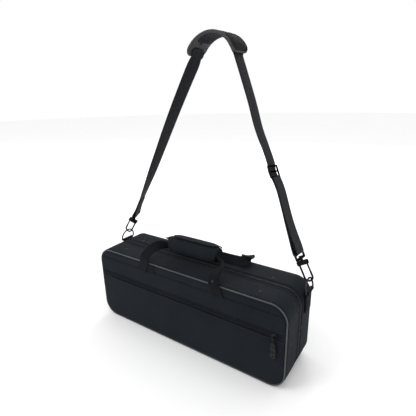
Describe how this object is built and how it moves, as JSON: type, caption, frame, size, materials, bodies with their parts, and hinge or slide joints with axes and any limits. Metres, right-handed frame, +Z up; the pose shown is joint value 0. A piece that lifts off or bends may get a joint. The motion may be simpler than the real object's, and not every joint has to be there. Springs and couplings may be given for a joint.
{
  "type": "instrument case",
  "caption": "Zip-round foam instrument case with hinged lid, front zip pocket, wrapped carry handles and a clip-on padded shoulder strap.",
  "frame": {"origin": "centre of the base, on the parting plane between the two halves", "axes": "+X along the case's length, -Y out of the front face with the pocket, +Z up"},
  "size_m": [0.528, 0.2105, 0.688],
  "materials": {
    "case_fabric": "matte coated oxford weave",
    "piping": "smooth welt piping",
    "foam": "dense closed-cell foam",
    "lining": "short plush",
    "webbing": "ribbed webbing",
    "pad_fabric": "padded knit",
    "zip_tape": "woven zip tape",
    "zip_coil": "nylon coil",
    "pull_metal": "gunmetal paint",
    "rivet_metal": "black paint",
    "hardware_metal": "black nickel"
  },
  "bodies": {
    "rear_shell": {"rear_gusset": "case_fabric", "rear_piping": "piping", "rear_zip_tape": "zip_tape", "rear_zip_coil": "zip_coil", "rear_hinge_strip": "case_fabric", "rear_handle_anchors": "webbing", "rear_lining": "lining", "rear_rivets": "rivet_metal", "rear_foam_core": "foam", "rear_panel": "case_fabric", "instrument_bed": "lining", "hold_down_straps": "webbing", "left_ring_tab": "webbing", "right_ring_tab": "webbing"},
    "front_shell": {"front_gusset": "case_fabric", "front_piping": "piping", "front_zip_tape": "zip_tape", "front_zip_coil": "zip_coil", "front_hinge_strip": "case_fabric", "front_handle_anchors": "webbing", "front_lining": "lining", "front_rivets": "rivet_metal", "front_foam_core": "foam", "pocket_panel": "case_fabric", "front_upper_panel": "case_fabric", "pocket_zip_tape": "zip_tape", "pocket_zip_coil": "zip_coil"},
    "main_zip_slider": {"main_zip_slider": "pull_metal"},
    "main_zip_pull": {"main_zip_pull": "pull_metal"},
    "pocket_zip_slider": {"pocket_zip_slider": "pull_metal"},
    "pocket_zip_pull": {"pocket_zip_pull": "pull_metal"},
    "front_handle": {"front_handle_webbing": "webbing", "grip_wrap": "case_fabric"},
    "grip_flap": {"grip_flap": "case_fabric"},
    "rear_handle": {"rear_handle_webbing": "webbing"},
    "left_ring": {"left_d_ring": "hardware_metal"},
    "right_ring": {"right_d_ring": "hardware_metal"},
    "strap": {"left_swivel_eye": "hardware_metal", "right_swivel_eye": "hardware_metal", "strap_left_end": "webbing", "strap_left_webbing": "webbing", "strap_right_webbing": "webbing", "strap_pad_webbing": "webbing", "shoulder_pad": "pad_fabric"},
    "left_hook": {"left_snap_hook": "hardware_metal"},
    "right_hook": {"right_snap_hook": "hardware_metal"},
    "left_gate": {"left_hook_gate": "hardware_metal"},
    "right_gate": {"right_hook_gate": "hardware_metal"},
    "tri_glide": {"tri_glide_slider": "hardware_metal"}
  },
  "joints": [
    {"name": "lid_hinge", "type": "hinge", "parent": "rear_shell", "child": "front_shell", "pos_m": [0, -0.00115, 0], "axis": [1, 0, 0], "range_deg": [0, 170]},
    {"name": "main_zip_slide", "type": "slide", "parent": "rear_shell", "child": "main_zip_slider", "axis": [0, 0, 1], "range_m": [0, 0.085]},
    {"name": "main_zip_pull_hinge", "type": "hinge", "parent": "main_zip_slider", "child": "main_zip_pull", "pos_m": [-0.26, 0, 0.057], "axis": [0, 1, 0], "range_deg": [0, 160]},
    {"name": "pocket_zip_slide", "type": "slide", "parent": "front_shell", "child": "pocket_zip_slider", "axis": [1, 0, 0], "range_m": [-0.46, 0]},
    {"name": "pocket_zip_pull_hinge", "type": "hinge", "parent": "pocket_zip_slider", "child": "pocket_zip_pull", "pos_m": [0.23, -0.071, 0.1185], "axis": [-1, 0, 0], "range_deg": [0, 160]},
    {"name": "front_handle_hinge", "type": "hinge", "parent": "front_shell", "child": "front_handle", "pos_m": [0, -0.0675, 0.19], "axis": [1, 0, 0], "range_deg": [0, 145]},
    {"name": "grip_flap_hinge", "type": "hinge", "parent": "front_handle", "child": "grip_flap", "pos_m": [0, 0.0203, 0.2322], "axis": [-1, 0, 0], "range_deg": [0, 110]},
    {"name": "rear_handle_hinge", "type": "hinge", "parent": "rear_shell", "child": "rear_handle", "pos_m": [0, 0.0675, 0.19], "axis": [-1, 0, 0], "range_deg": [0, 145]},
    {"name": "left_ring_hinge", "type": "hinge", "parent": "rear_shell", "child": "left_ring", "pos_m": [-0.2592, 0.036, 0.176], "axis": [0, 1, 0], "range_deg": [-2.5, 2.5]},
    {"name": "right_ring_hinge", "type": "hinge", "parent": "rear_shell", "child": "right_ring", "pos_m": [0.2592, 0.036, 0.176], "axis": [0, 1, 0], "range_deg": [-2.5, 2.5]},
    {"name": "strap_swing", "type": "hinge", "parent": "rear_shell", "child": "strap", "pos_m": [0, 0.036, 0.182], "axis": [-1, 0, 0], "range_deg": [-65, 48]},
    {"name": "left_hook_swivel", "type": "hinge", "parent": "strap", "child": "left_hook", "pos_m": [-0.255, 0.03879, 0.20261], "axis": [0.5, 0.116, 0.8582], "range_deg": [-60, 10]},
    {"name": "right_hook_swivel", "type": "hinge", "parent": "strap", "child": "right_hook", "pos_m": [0.255, 0.03879, 0.20261], "axis": [-0.5, 0.116, 0.8582], "range_deg": [-25, 25]},
    {"name": "left_gate_hinge", "type": "hinge", "parent": "left_hook", "child": "left_gate", "pos_m": [-0.24559, 0.03949, 0.23432], "axis": [0.366, -0.9264, -0.088], "range_deg": [0, 20], "stiffness_Nm_per_rad": 0.02, "springref_deg": -11.46},
    {"name": "right_gate_hinge", "type": "hinge", "parent": "right_hook", "child": "right_gate", "pos_m": [0.24627, 0.04306, 0.23424], "axis": [0, 0.991, -0.134], "range_deg": [0, 20], "stiffness_Nm_per_rad": 0.02, "springref_deg": -11.46},
    {"name": "tri_glide_slide", "type": "slide", "parent": "strap", "child": "tri_glide", "axis": [-0.4039, 0.1226, 0.9066], "range_m": [-0.1, 0.08]}
  ]
}
